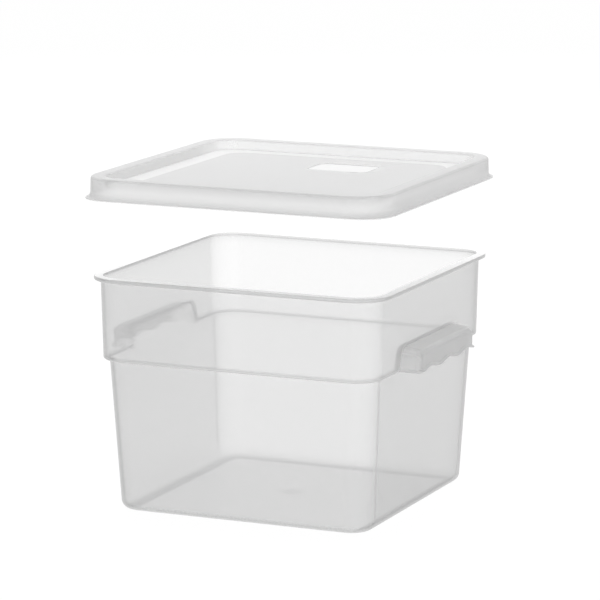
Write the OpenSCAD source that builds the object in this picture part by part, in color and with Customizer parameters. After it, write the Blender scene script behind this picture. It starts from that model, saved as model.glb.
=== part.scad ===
// Square food storage box: a translucent moulded container with a grip on two sides, and a press-on lid.
// Millimetres, +Z up. The origin is at the middle of the base, and the grips are on the +X and -X walls.

/* [Container] */
// Height from the base to the top of the rim
container_h = 215; // [200:1:240]
// Width over the flange of the rim, the same both ways
rim_w = 286; // [276:1:300]
// How far the flange stands out past the collar
rim_overhang = 6.7; // [5.5:0.1:8]
// Thickness of the flange
rim_t = 3.6; // [3:0.1:4.6]
// Height of the collar, from the shoulder to the top of the rim
collar_h = 76.5; // [70:0.5:84]
// How far each side of the collar leans in from the rim to the shoulder
collar_taper = 1.4; // [0.8:0.1:2.2]
// How far the shoulder steps in under each side of the collar
shoulder_step = 4.9; // [4.2:0.1:6.4]
// How far each side of the lower body leans in from the shoulder to the base
body_taper = 7.4; // [5.5:0.1:9.5]
// Thickness of the walls
wall_t = 2.8; // [2.3:0.1:3.2]
// Thickness of the floor
floor_t = 3; // [2.4:0.1:3.8]

/* [Corners] */
// Corner radius of the flange, seen from above
rim_corner_r = 33; // [30:0.5:36]
// Corner radius of the collar
collar_corner_r = 24.5; // [22.5:0.5:27]
// Corner radius of the lower body
body_corner_r = 22; // [20:0.5:24]
// Radius between the walls and the base
base_fillet_r = 11.6; // [9:0.2:14]
// Radius under the collar, where it turns in to the shoulder
shoulder_r = 3; // [2:0.1:3.6]

/* [Grips] */
// Length of a grip along the wall
grip_l = 131; // [112:1:138]
// How far a grip stands out from the lower body, which is the depth for the fingers and one wall
grip_depth = 22; // [18:0.1:24]
// Height of a grip, from the lobes on its lower edge to where it meets the collar
grip_h = 22; // [19:0.5:25]
// Drop of the grip's top from the collar to the outer edge
grip_fall = 2.5; // [1:0.1:4]
// How far the lobes hang below the shoulder
grip_hang = 0.5; // [0:0.1:2]
// Wall thickness of a grip
grip_t = 2.2; // [1.8:0.1:2.6]
// Number of finger hollows along the lower edge
finger_count = 3; // [2:1:4]
// Depth of a finger hollow
finger_depth = 3.2; // [2:0.1:4.5]

/* [Lid] */
// Height over all, from the lip to the top of the band
lid_h = 20; // [18:0.5:23]
// Thickness of the lid
lid_t = 1.8; // [1.5:0.1:2.1]
// Gap between the flange of the rim and the skirt
skirt_gap = 0.6; // [0.4:0.1:0.9]
// Gap between the plug and the inside of the container
plug_gap = 0.6; // [0.4:0.1:0.9]
// Depth of the well below the band
well_depth = 9.3; // [8:0.1:11]
// Width of the smooth gutter round the panel
gutter_w = 19; // [15:0.5:23]
// How far the panel stands above the gutter
panel_rise = 0.6; // [0.3:0.1:1]
// How far the lip flares out past the skirt
lip_w = 2; // [1.4:0.1:2.6]
// How much further the lip reaches at the corners, for pulling the lid off
corner_pull = 3; // [1.5:0.1:4]
// Length of the smooth field for a label, along X
label_l = 58; // [40:1:80]
// Width of the label field, along Y
label_w = 40; // [26:1:50]
// Centre of the label field from the middle of the lid, along X
label_x = 25; // [-40:1:40]
// Centre of the label field from the middle of the lid, along Y
label_y = 58; // [-60:1:60]

/* [Pose] */
// How far the lid is lifted off the rim
lid_lift = 88; // [0:1:125]

/* [Hidden] */

overrun = 1; // how far cuts run past the faces that they open
corner_steps = 12; // straight steps in a quarter turn of a corner
arc_steps = 5; // straight steps in a quarter turn of a small radius
flare_steps = 5;
ball_sides = 32;

rim_half = rim_w / 2;
rim_edge_r = 1.1;
rim_root_r = 1.2;
shoulder_z = container_h - collar_h;
collar_top_half = rim_half - rim_overhang;
collar_foot_half = collar_top_half - collar_taper;
body_top_half = collar_foot_half - shoulder_step;
base_half = body_top_half - body_taper;
ledge_r = 1.2; // inside radius where the collar meets the ledge
foot_w = 4; // width of the standing foot inside the base radius
foot_rise = 0.8; // hollow of the base inside the foot
gate_r = 11; // radius of the round moulding mark under the middle of the floor
gate_depth = 0.5;

recess_margin = 3; // how far the foot of the recess in the collar runs past each end of a grip
recess_flare = 10.5; // how much further it reaches at the face of the collar
recess_lean = 8; // how far its ends lean in from its foot to its top
recess_fall = 3; // drop of its top from the face of the collar to its back
recess_corner_r = 8;
root_share = 0.35; // share of the wall's thickness that a grip is sunk into

grip_x = body_top_half + grip_depth;
grip_half = grip_l / 2;
grip_foot_z = shoulder_z - grip_hang;
grip_top_z = grip_foot_z + grip_h;
grip_r = 6;
grip_lip_w = 2; // bead along the lower edge of a grip
grip_lip_h = 2.2;
finger_steps = 12; // straight steps in one finger hollow
root_x = body_top_half - root_share * wall_t;

band_r = 2.6; // radius of the band's outer edge
well_edge_r = 2; // radius of the band's inner edge
well_foot_r = 1.6; // radius between the well's wall and the gutter
lip_t = 1.5; // thickness of the lip's edge
flare_h = 6.5; // height over which the skirt flares out to the lip
skirt_taper = 0.5; // how far the skirt leans in towards the band
plug_taper = 0.8; // how far the plug leans in towards its foot
label_r = 8;
label_depth = 0.3;

skirt_in_half = rim_half + skirt_gap;
skirt_in_r = rim_corner_r + skirt_gap;
skirt_out_half = skirt_in_half + lid_t;
skirt_out_r = skirt_in_r + lid_t;
plug_half = collar_top_half - wall_t - plug_gap;
plug_r = collar_corner_r - wall_t - plug_gap;
well_half = plug_half - lid_t;
well_r = plug_r - lid_t;
gutter_z = lid_t - well_depth; // top of the gutter, from the underside of the band
lip_z = lid_t - lid_h;
panel_half = well_half - plug_taper - gutter_w;
panel_r = well_r;

// One ring of a rounded square: half its width, its corner radius, its height, and how far its corners bulge.
function ring(half, r, z, pull = 0) = [
    for (quarter = [0:3], step = [0:corner_steps])
        let (
            turn = 90 * step / corner_steps,
            reach = r + pull * pow(sin(2 * turn), 2),
            way = 90 * quarter + turn,
            centre_x = (quarter == 0 || quarter == 3 ? 1 : -1) * (half - r),
            centre_y = (quarter < 2 ? 1 : -1) * (half - r)
        )
        [centre_x + reach * cos(way), centre_y + reach * sin(way), z]
];

// A closed solid through rings that follow each other up the outside and down the inside.
module loft(rings) {
    n = len(rings[0]);
    last = n * (len(rings) - 1);
    sides = [
        for (k = [0:len(rings) - 2], i = [0:n - 1])
            let (j = (i + 1) % n)
            [n * k + i, n * (k + 1) + i, n * (k + 1) + j, n * k + j]
    ];
    foot_cap = [for (i = [0:n - 1]) i];
    top_cap = [for (i = [n - 1:-1:0]) last + i];
    polyhedron(points = [for (one = rings) each one], faces = concat(sides, [foot_cap, top_cap]));
}

function body_half(z) = base_half + body_taper * z / shoulder_z;
function collar_half(z) = collar_foot_half + collar_taper * (z - shoulder_z) / collar_h;
function arc_turns(steps) = [for (i = [0:steps]) 90 * i / steps];

// The lower body as a solid block, drawn in by inset on every wall, with its floor at floor_z.
function body_rings(inset, floor_z, fillet, top_z) = [
    for (turn = arc_turns(arc_steps))
        let (z = floor_z + fillet * (1 - cos(turn)), drawn_in = inset + fillet * (1 - sin(turn)))
        ring(body_half(z) - drawn_in, body_corner_r - drawn_in, z),
    ring(body_half(top_z) - inset, body_corner_r - inset, top_z)
];

// The foot: the base is hollowed a little inside the ring that it stands on.
function foot_rings() =
    let (half = base_half - base_fillet_r - foot_w, r = body_corner_r - base_fillet_r)
    [ring(half - foot_rise, r - foot_rise, foot_rise), ring(half, r, 0)];

// The collar with its shoulder below and its flange on top, as a solid block.
function collar_rings() = [
    for (turn = arc_turns(arc_steps))
        let (z = shoulder_z + shoulder_r * (1 - cos(turn)), drawn_in = shoulder_r * (1 - sin(turn)))
        ring(collar_half(z) - drawn_in, collar_corner_r - drawn_in, z),
    for (turn = arc_turns(2))
        let (z = container_h - rim_t - rim_root_r * (1 - sin(turn)), out = rim_root_r * (1 - cos(turn)))
        ring(collar_half(z) + out, collar_corner_r + out, z),
    for (turn = arc_turns(2))
        let (z = container_h - rim_t + rim_edge_r * (1 - cos(turn)), drawn_in = rim_edge_r * (1 - sin(turn)))
        ring(rim_half - drawn_in, rim_corner_r - drawn_in, z),
    for (turn = arc_turns(2))
        let (z = container_h - rim_edge_r * (1 - sin(turn)), drawn_in = rim_edge_r * (1 - cos(turn)))
        ring(rim_half - drawn_in, rim_corner_r - drawn_in, z)
];

// The space inside the collar, down to the ledge, opened past the rim.
function collar_space_rings() =
    let (half = collar_top_half - wall_t, r = collar_corner_r - wall_t)
    [
        for (turn = arc_turns(2))
            let (z = shoulder_z + wall_t + ledge_r * (1 - cos(turn)), drawn_in = wall_t + ledge_r * (1 - sin(turn)))
            ring(collar_half(z) - drawn_in, collar_corner_r - drawn_in, z),
        for (turn = arc_turns(2))
            let (z = container_h - rim_edge_r * (1 - sin(turn)), out = rim_edge_r * (1 - cos(turn)))
            ring(half + out, r + out, z),
        ring(half + rim_edge_r, r + rim_edge_r, container_h + overrun)
    ];

// One face of the recess, standing across X: its ends lean in and its top corners are rounded.
module recess_face(x, grow) {
    share = (x - body_top_half) / shoulder_step;
    foot_half = grip_half + recess_margin + recess_flare * share + grow;
    corner_y = foot_half - recess_lean - recess_corner_r;
    corner_z = grip_top_z - recess_fall * (1 - share) + grow - recess_corner_r;
    translate([x, 0, 0])
        rotate([90, 0, 90])
            linear_extrude(overrun)
                hull() {
                    translate([-foot_half, shoulder_z - shoulder_r])
                        square([2 * foot_half, overrun]);
                    for (side = [-1, 1])
                        translate([side * corner_y, corner_z])
                            circle(recess_corner_r, $fn = ball_sides);
                }
}

// The recess that makes room for the fingers, cut through the collar on both grip walls.
module recesses(grow = 0) {
    for (side = [0, 180])
        rotate(side)
            hull() {
                recess_face(body_top_half - shoulder_step, grow);
                recess_face(rim_half, grow);
            }
}

module outer_form() {
    loft(concat(foot_rings(), body_rings(0, 0, base_fillet_r, grip_top_z)));
    difference() {
        loft(collar_rings());
        recesses();
    }
}

module inner_form() {
    loft(body_rings(wall_t, floor_t, base_fillet_r - wall_t, grip_top_z + wall_t));
    difference() {
        loft(collar_space_rings());
        recesses(wall_t);
    }
}

// The block of a grip, drawn in by inset: a rounded hood whose back is sunk in the wall at back_x.
module grip_block(inset, back_x) {
    r = grip_r - inset;
    end_y = grip_half - grip_r;
    out_x = grip_x - grip_r;
    low_z = grip_foot_z - grip_r;
    hull()
        for (side = [-1, 1]) {
            translate([out_x, side * end_y, grip_top_z - grip_fall - grip_r])
                sphere(r, $fn = ball_sides);
            translate([out_x, side * end_y, low_z])
                cylinder(h = overrun, r = r, $fn = ball_sides);
            translate([back_x, side * end_y, grip_top_z - grip_r])
                rotate([0, 90, 0])
                    cylinder(h = overrun, r = r, $fn = ball_sides);
            translate([back_x, side * end_y, low_z])
                rotate([0, 90, 0])
                    cylinder(h = overrun, r = r, $fn = ball_sides);
        }
}

// Height of a grip's lower edge: lobes between the hollows for the fingers.
function wave(y) =
    let (at = min(abs(y), grip_half), pitch = grip_l / finger_count)
    grip_foot_z + finger_depth * (1 - cos(360 * (at + grip_half) / pitch)) / 2;

// A slab across the grip whose edges follow the wave, from drop below it to rise above it.
module wave_slab(drop, rise) {
    reach = grip_half + grip_r;
    steps = finger_steps * finger_count;
    places = [for (i = [0:steps]) reach * (2 * i / steps - 1)];
    translate([root_x - overrun, 0, 0])
        rotate([90, 0, 90])
            linear_extrude(grip_x + grip_r - root_x + overrun)
                polygon(concat(
                    [for (y = places) [y, wave(y) + rise]],
                    [for (i = [steps:-1:0]) [places[i], wave(places[i]) - drop]]
                ));
}

// One grip: an open-bottomed hood with a wavy lower edge and a bead along it.
module grip() {
    difference() {
        union() {
            difference() {
                grip_block(0, root_x);
                wave_slab(2 * grip_r + finger_depth, 0);
            }
            intersection() {
                grip_block(-grip_lip_w, root_x);
                wave_slab(0, grip_lip_h);
            }
        }
        grip_block(grip_t, root_x - 2 * overrun);
    }
}

module container() {
    color([0.9, 0.91, 0.92, 0.6]) {
        difference() {
            outer_form();
            inner_form();
            translate([0, 0, foot_rise - overrun])
                cylinder(h = overrun + gate_depth, r = gate_r, $fn = ball_sides);
        }
        for (side = [0, 180])
            rotate(side)
                grip();
    }
}

// How far the skirt leans in at a height below the band.
function skirt_lean(z) = skirt_taper * (z - lip_z) / lid_h;

// The underside: panel, gutter, foot of the plug, the plug's outer wall and the inside of the skirt.
function lid_under_rings() =
    let (under_z = gutter_z - lid_t, foot_r = well_foot_r + lid_t)
    [
        ring(panel_half - panel_rise, panel_r - panel_rise, under_z + panel_rise),
        ring(panel_half, panel_r, under_z),
        for (turn = arc_turns(arc_steps))
            let (z = under_z + foot_r * (1 - cos(turn)), drawn_in = plug_taper + foot_r * (1 - sin(turn)))
            ring(plug_half - drawn_in, plug_r - drawn_in, z),
        ring(plug_half, plug_r, 0),
        ring(skirt_in_half, skirt_in_r, 0),
        ring(skirt_in_half, skirt_in_r, lip_z + flare_h),
        ring(skirt_in_half + lip_w / 2, skirt_in_r + lip_w / 2, lip_z, corner_pull / 2)
    ];

// The outside: lip, the flare above it, the skirt and the rounded edge of the band.
function lid_outer_rings() =
    let (lip_half = skirt_out_half + lip_w, lip_r = skirt_out_r + lip_w)
    [
        ring(lip_half, lip_r, lip_z, corner_pull),
        for (i = [flare_steps:-1:0])
            let (
                turn = 90 * i / flare_steps,
                z = lip_z + lip_t + (flare_h - lip_t) * (1 - sin(turn)),
                out_share = 1 - cos(turn),
                out = lip_w * out_share - skirt_lean(z)
            )
            ring(skirt_out_half + out, skirt_out_r + out, z, corner_pull * out_share),
        for (turn = arc_turns(arc_steps))
            let (z = lid_t - band_r * (1 - sin(turn)), drawn_in = skirt_lean(z) + band_r * (1 - cos(turn)))
            ring(skirt_out_half - drawn_in, skirt_out_r - drawn_in, z)
    ];

// The top: the band's inner edge, the wall of the well, the gutter and the raised panel.
function lid_top_rings() = [
    for (turn = arc_turns(arc_steps))
        let (z = lid_t - well_edge_r * (1 - cos(turn)), out = well_edge_r * (1 - sin(turn)))
        ring(well_half + out, well_r + out, z),
    for (turn = arc_turns(arc_steps))
        let (z = gutter_z + well_foot_r * (1 - sin(turn)), drawn_in = plug_taper + well_foot_r * (1 - cos(turn)))
        ring(well_half - drawn_in, well_r - drawn_in, z),
    ring(panel_half, panel_r, gutter_z),
    ring(panel_half - panel_rise, panel_r - panel_rise, gutter_z + panel_rise)
];

// The smooth field for a label, a shallow rounded rectangle in the top of the panel.
module label_field() {
    translate([label_x, label_y, gutter_z + panel_rise - label_depth])
        linear_extrude(overrun)
            offset(r = label_r, $fn = ball_sides)
                square([label_l - 2 * label_r, label_w - 2 * label_r], center = true);
}

module lid() {
    color([0.93, 0.94, 0.95, 0.6])
        translate([0, 0, container_h + lid_lift])
            difference() {
                loft(concat(lid_under_rings(), lid_outer_rings(), lid_top_rings()));
                label_field();
            }
}

container();
lid();
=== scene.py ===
"""The looks of a square food storage box: a translucent container with two moulded grips, and its lid."""

import logging
import math
from dataclasses import dataclass, field
from enum import Enum

import bmesh
import bpy
import numpy as np
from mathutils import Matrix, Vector


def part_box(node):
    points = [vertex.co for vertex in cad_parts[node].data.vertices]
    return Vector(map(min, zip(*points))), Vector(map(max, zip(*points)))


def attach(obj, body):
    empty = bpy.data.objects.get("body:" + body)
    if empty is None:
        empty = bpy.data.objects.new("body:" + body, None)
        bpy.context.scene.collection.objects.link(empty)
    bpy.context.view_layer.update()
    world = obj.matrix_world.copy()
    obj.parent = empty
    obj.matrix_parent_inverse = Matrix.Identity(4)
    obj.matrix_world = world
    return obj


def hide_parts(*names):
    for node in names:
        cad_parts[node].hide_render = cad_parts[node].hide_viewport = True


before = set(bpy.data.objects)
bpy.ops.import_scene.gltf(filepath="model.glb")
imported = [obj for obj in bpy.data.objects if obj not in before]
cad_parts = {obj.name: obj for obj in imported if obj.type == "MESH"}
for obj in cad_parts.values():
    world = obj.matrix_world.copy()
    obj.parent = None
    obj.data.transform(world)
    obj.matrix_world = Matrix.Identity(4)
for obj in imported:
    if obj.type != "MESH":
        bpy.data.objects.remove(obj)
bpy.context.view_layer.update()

MM = 0.001
TINY = 1e-9
WHITE = (1.0, 1.0, 1.0, 1.0)
BLACK = (0.0, 0.0, 0.0, 1.0)
QUARTERS = ((1, 1), (-1, 1), (-1, -1), (1, -1))
log = logging.getLogger("food_box")


class Zone(Enum):
    """Which face of the container's wall a level of its loft belongs to."""

    PLAIN = 0
    OUTER_WALL = 1
    INNER_WALL = 2


class Measure(Enum):
    """How a height on a grip's sheet is given: as a rise from its lower edge, or a share of the way up."""

    RISE = 0
    SHARE = 1


@dataclass(frozen=True)
class Corner:
    """One corner of a wall's section, cut through the middle of a side.

    half is its distance from the middle of the box and plan_r the radius of the box's corners there, seen
    from above. fillet rounds it in the section, pull draws the box's corners out, and spacing is the most
    that the levels after it lie apart.
    """

    half: float
    height: float
    plan_r: float
    fillet: float = 0.0
    pull: float = 0.0
    spacing: float = 12 * MM
    zone: Zone = Zone.PLAIN

    def row(self) -> np.ndarray:
        """Its half width, height, plan radius and pull."""
        return np.array([self.half, self.height, self.plan_r, self.pull])


@dataclass(frozen=True)
class Section:
    """A wall's section as a chain of corners, turned into the levels of a loft.

    An arc turns by arc_step at most between two levels, and takes up most_of_run of a stretch at most. A
    stretch longer than supported_from has a level close to each end, at a distance of support.
    """

    corners: tuple[Corner, ...]
    arc_step: float = math.radians(11)
    most_of_run: float = 0.49
    support: float = 0.5 * MM
    supported_from: float = 3.0 * MM

    def levels(self) -> tuple[np.ndarray, list[Zone]]:
        """Rounds the corners and divides the straight stretches.

        Returns:
            One row of half width, height, plan radius and pull for each level, and each level's zone.
        """
        rows, zones = [self.corners[0].row()], [self.corners[0].zone]
        for before, corner, after in zip(self.corners, self.corners[1:], self.corners[2:]):
            arc = self._arc(before, corner, after)
            self._run(rows, zones, arc[0], before)
            rows += arc[1:]
            zones += [corner.zone] * (len(arc) - 1)
        self._run(rows, zones, self.corners[-1].row(), self.corners[-2])
        return np.array(rows), zones

    def _arc(self, before: Corner, corner: Corner, after: Corner) -> list[np.ndarray]:
        """The rows of one rounded corner.

        Args:
            before: The corner that the section comes from.
            corner: The corner to round.
            after: The corner that the section goes to.

        Returns:
            Rows from where the arc begins to where it ends, or the corner's own row if it is sharp.
        """
        here = corner.row()
        if corner.fillet <= 0:
            return [here]
        back, on = before.row() - here, after.row() - here
        back_long, on_long = np.hypot(*back[:2]), np.hypot(*on[:2])
        back_way, on_way = back[:2] / back_long, on[:2] / on_long
        opening = math.acos(float(np.clip(back_way @ on_way, -1, 1)))
        most = self.most_of_run * min(back_long, on_long)
        reach = min(corner.fillet / math.tan(opening / 2), most)
        radius = reach * math.tan(opening / 2)
        first, last = here + back * reach / back_long, here + on * reach / on_long
        inwards = back_way + on_way
        middle = here[:2] + inwards / np.linalg.norm(inwards) * math.hypot(reach, radius)
        turn = math.pi - opening
        steps = max(2, math.ceil(turn / self.arc_step))
        from_way, to_way = first[:2] - middle, last[:2] - middle
        rows = []
        for step in range(steps + 1):
            share = step / steps
            mixed = math.sin((1 - share) * turn) * from_way + math.sin(share * turn) * to_way
            place = middle + mixed / math.sin(turn)
            across = last[0] - first[0]
            part = (place[0] - first[0]) / across if abs(across) > radius / 2 else share
            rest = first[2:] + (last[2:] - first[2:]) * part
            rows.append(np.concatenate([place, rest]))
        return rows

    def _run(self, rows: list[np.ndarray], zones: list[Zone], end: np.ndarray, start: Corner) -> None:
        """Adds the levels of a straight stretch, with one close to each end that keeps its shading flat.

        Args:
            rows: The rows so far, which the stretch goes on from.
            zones: Their zones.
            end: The stretch's last row.
            start: The corner that it began at, which sets its spacing and zone.
        """
        long = np.hypot(*(end - rows[-1])[:2])
        if long < TINY:
            return
        steps = max(1, math.ceil(long / start.spacing))
        shares = {step / steps for step in range(1, steps + 1)}
        if long > self.supported_from:
            shares |= {self.support / long, 1 - self.support / long}
        first = rows[-1]
        for share in sorted(shares):
            rows.append(first + (end - first) * share)
            zones.append(start.zone)


@dataclass(frozen=True)
class Columns:
    """The places round a rounded square at which a loft has its columns.

    Each column is a point on the unit square that a level's straight sides reach to, the way that its
    corner radius is laid off from there, and the share of its pull that it takes: 1 in the middle of a
    corner and 0 on the sides.
    """

    centres: np.ndarray
    ways: np.ndarray
    bulges: np.ndarray

    @classmethod
    def around(cls, corner_steps: int, side_shares: list[list[float]]) -> "Columns":
        """Lays the columns out anticlockwise from the +X side's far end.

        Args:
            corner_steps: Steps in each rounded corner.
            side_shares: For the sides +Y, -X, -Y and +X, where their columns lie, from -1 to 1.

        Returns:
            The columns.
        """
        centres, ways, bulges = [], [], []
        digits = 12
        for quarter, shares in enumerate(side_shares):
            start = math.pi / 2 * quarter
            for step in range(corner_steps + 1):
                turn = math.pi / 2 * step / corner_steps
                centres.append(QUARTERS[quarter])
                ways.append((math.cos(start + turn), math.sin(start + turn)))
                bulges.append(math.sin(2 * turn) ** 2)
            here, there = np.array(QUARTERS[quarter]), np.array(QUARTERS[(quarter + 1) % 4])
            for share in shares:
                centres.append(here + (there - here) * (share + 1) / 2)
                ways.append((math.cos(start + math.pi / 2), math.sin(start + math.pi / 2)))
                bulges.append(0.0)
        return cls(np.array(centres), np.round(np.array(ways), digits), np.array(bulges))


class Canvas:
    """Adds nodes to a tree and links them."""

    def __init__(self, tree: bpy.types.NodeTree) -> None:
        """Takes the tree to work on."""
        self.tree = tree

    @classmethod
    def on(cls, owner: bpy.types.Material | bpy.types.World) -> "Canvas":
        """Clears the nodes of a material or world.

        Args:
            owner: The material or world.

        Returns:
            A canvas on its empty tree.
        """
        owner.use_nodes = True
        owner.node_tree.nodes.clear()
        return cls(owner.node_tree)

    def add(self, kind: str, values: dict | None = None, **settings: object) -> bpy.types.Node:
        """Adds a node.

        Args:
            kind: The node's type.
            values: What its input sockets hold or are linked from, by name or number.
            **settings: Its own properties.

        Returns:
            The node.
        """
        node = self.tree.nodes.new(kind)
        for name, value in settings.items():
            setattr(node, name, value)
        for key, value in (values or {}).items():
            socket = node.inputs[key]
            if isinstance(value, bpy.types.NodeSocket):
                self.tree.links.new(value, socket)
            else:
                socket.default_value = value
        return node

    def out(self, kind: str, values: dict | None = None, **settings: object) -> bpy.types.NodeSocket:
        """Adds a node and gives its first output."""
        return self.add(kind, values, **settings).outputs[0]

    def math(self, operation: str, *operands: bpy.types.NodeSocket | float) -> bpy.types.NodeSocket:
        """The result of a Math node on numbers or sockets."""
        return self.out("ShaderNodeMath", dict(enumerate(operands)), operation=operation)

    def split(self, vector: bpy.types.NodeSocket) -> bpy.types.NodeOutputs:
        """The X, Y and Z of a vector."""
        return self.add("ShaderNodeSeparateXYZ", {0: vector}).outputs


class RingLoft:
    """A node tree that lofts a surface through rounded squares of any size, each at its own height."""

    seam: float = 0.002 * MM

    def __init__(self) -> None:
        """Builds the tree."""
        self.tree = bpy.data.node_groups.new("ring_loft", "GeometryNodeTree")
        self.inputs = {}
        for name, kind in (
            ("Levels", "NodeSocketGeometry"),
            ("Columns", "NodeSocketObject"),
            ("Seam", "NodeSocketFloat"),
            ("Material", "NodeSocketMaterial"),
        ):
            socket = self.tree.interface.new_socket(name, in_out="INPUT", socket_type=kind)
            self.inputs[name] = socket.identifier
        self.tree.interface.new_socket("Surface", in_out="OUTPUT", socket_type="NodeSocketGeometry")
        self._build()

    def _build(self) -> None:
        """Draws a grid of a column by a level and puts each of its points where the two meet."""
        draw = Canvas(self.tree)
        given = draw.add("NodeGroupInput").outputs
        levels = given["Levels"]
        columns = draw.add("GeometryNodeObjectInfo", {"Object": given["Columns"]}).outputs["Geometry"]
        level_count = self._count(draw, levels)
        column_count = self._count(draw, columns)
        last_level = draw.math("SUBTRACT", level_count, 1.0)
        grid = draw.out(
            "GeometryNodeMeshGrid",
            {
                "Size X": column_count,
                "Size Y": last_level,
                "Vertices X": draw.math("ADD", column_count, 1.0),
                "Vertices Y": level_count,
            },
        )
        place = draw.split(draw.out("GeometryNodeInputPosition"))
        column = draw.math("ROUND", draw.math("ADD", place["X"], draw.math("MULTIPLY", column_count, 0.5)))
        column = draw.math("FLOORED_MODULO", column, column_count)
        level = draw.math("ROUND", draw.math("ADD", place["Y"], draw.math("MULTIPLY", last_level, 0.5)))
        size = draw.split(self._read(draw, levels, level, None))
        pull = self._read(draw, levels, level, "pull")
        centre = draw.split(self._read(draw, columns, column, None))
        way = draw.split(self._read(draw, columns, column, "way"))
        straight = draw.math("SUBTRACT", size["X"], size["Y"])
        reach = draw.math("MULTIPLY_ADD", pull, centre["Z"], size["Y"])
        x, y = (
            draw.math("MULTIPLY_ADD", straight, centre[axis], draw.math("MULTIPLY", reach, way[axis]))
            for axis in "XY"
        )
        spot = draw.out("ShaderNodeCombineXYZ", {0: x, 1: y, 2: size["Z"]})
        stored = {"Geometry": grid, "Name": "level", "Value": level}
        surface = draw.out("GeometryNodeStoreNamedAttribute", stored, data_type="FLOAT", domain="POINT")
        for kind, values in (
            ("GeometryNodeSetPosition", {"Position": spot}),
            ("GeometryNodeMergeByDistance", {"Distance": given["Seam"]}),
            ("GeometryNodeSetShadeSmooth", {}),
            ("GeometryNodeRealizeInstances", {}),
            ("GeometryNodeSetMaterial", {"Material": given["Material"]}),
        ):
            surface = draw.out(kind, {"Geometry": surface, **values})
        draw.add("NodeGroupOutput", {0: surface})

    @staticmethod
    def _count(draw: Canvas, geometry: bpy.types.NodeSocket) -> bpy.types.NodeSocket:
        """The number of points in a geometry."""
        return draw.add("GeometryNodeAttributeDomainSize", {"Geometry": geometry}).outputs["Point Count"]

    @staticmethod
    def _read(
        draw: Canvas, geometry: bpy.types.NodeSocket, index: bpy.types.NodeSocket, name: str | None
    ) -> bpy.types.NodeSocket:
        """Reads a point of a geometry.

        Args:
            draw: The canvas.
            geometry: Where the points are.
            index: Which point to read.
            name: The attribute to read, or None for the point's own place.

        Returns:
            The value, a number for pull and a vector otherwise.
        """
        kind = "FLOAT" if name == "pull" else "FLOAT_VECTOR"
        if name is None:
            value = draw.out("GeometryNodeInputPosition")
        else:
            value = draw.out("GeometryNodeInputNamedAttribute", {"Name": name}, data_type=kind)
        sample = {"Geometry": geometry, "Value": value, "Index": index}
        return draw.out("GeometryNodeSampleIndex", sample, data_type=kind)

    def make(
        self, name: str, levels: np.ndarray, columns: Columns, material: bpy.types.Material
    ) -> bpy.types.Object:
        """Makes one lofted piece as a plain mesh.

        Args:
            name: The piece's name.
            levels: Rows of half width, height, plan radius and pull.
            columns: The loft's columns.
            material: What it is dressed in.

        Returns:
            The piece, whose faces point outwards.
        """
        around = add_mesh("columns", np.column_stack([columns.centres, columns.bulges]))
        way = around.data.attributes.new("way", "FLOAT_VECTOR", "POINT")
        way.data.foreach_set("vector", np.column_stack([columns.ways, columns.bulges * 0]).ravel())
        base = add_mesh(name, levels[:, [0, 2, 1]])
        pull = base.data.attributes.new("pull", "FLOAT", "POINT")
        pull.data.foreach_set("value", levels[:, 3])
        modifier = base.modifiers.new("loft", "NODES")
        modifier.node_group = self.tree
        for given, value in (("Columns", around), ("Seam", self.seam), ("Material", material)):
            modifier[self.inputs[given]] = value
        piece = settle(base)
        bpy.data.objects.remove(around)
        return piece


def add_mesh(name: str, points: np.ndarray, faces: list[tuple] | tuple = ()) -> bpy.types.Object:
    """Makes a mesh object.

    Args:
        name: The object's name.
        points: Its points.
        faces: Its faces, if the points aren't loose.

    Returns:
        The object, linked to the scene.
    """
    mesh = bpy.data.meshes.new(name)
    mesh.from_pydata(points.tolist(), [], faces)
    thing = bpy.data.objects.new(name, mesh)
    bpy.context.scene.collection.objects.link(thing)
    return thing


def settle(thing: bpy.types.Object) -> bpy.types.Object:
    """Turns an object's modifiers into its own mesh.

    Args:
        thing: The object.

    Returns:
        The same object, with a plain mesh whose normals point outwards.
    """
    bpy.context.view_layer.update()
    graph = bpy.context.evaluated_depsgraph_get()
    mesh = bpy.data.meshes.new_from_object(thing.evaluated_get(graph), depsgraph=graph)
    mesh.name = thing.name
    thing.modifiers.clear()
    thing.data = mesh
    return face_outwards(thing)


def face_outwards(thing: bpy.types.Object) -> bpy.types.Object:
    """Recalculates the normals of a closed mesh so that they point outwards.

    Args:
        thing: The piece.

    Returns:
        The same piece.
    """
    work = bmesh.new()
    work.from_mesh(thing.data)
    bmesh.ops.recalc_face_normals(work, faces=work.faces)
    work.to_mesh(thing.data)
    work.free()
    return thing


def read_points(thing: bpy.types.Object) -> np.ndarray:
    """Reads a mesh's points.

    Args:
        thing: The piece.

    Returns:
        Their places, one row each.
    """
    points = np.zeros(len(thing.data.vertices) * 3)
    thing.data.vertices.foreach_get("co", points)
    return points.reshape(-1, 3)


def write_points(thing: bpy.types.Object, points: np.ndarray) -> None:
    """Moves a mesh's points."""
    thing.data.vertices.foreach_set("co", points.ravel())
    thing.data.update()


def mark(thing: bpy.types.Object, name: str, domain: str, values: np.ndarray) -> None:
    """Gives a mesh an attribute that its material reads.

    Args:
        thing: The piece.
        name: The attribute's name.
        domain: Whether it lies on points or faces.
        values: One number for each.
    """
    attribute = thing.data.attributes.new(name, "FLOAT", domain)
    attribute.data.foreach_set("value", values.astype(np.float32))


def take_levels(thing: bpy.types.Object) -> np.ndarray:
    """Reads which level of its loft each point of a mesh belongs to, and takes the attribute off.

    Args:
        thing: The lofted piece.

    Returns:
        The number of each point's level.
    """
    numbers = np.zeros(len(thing.data.vertices), np.float32)
    thing.data.attributes["level"].data.foreach_get("value", numbers)
    thing.data.attributes.remove(thing.data.attributes["level"])
    return np.rint(numbers).astype(int)


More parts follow.
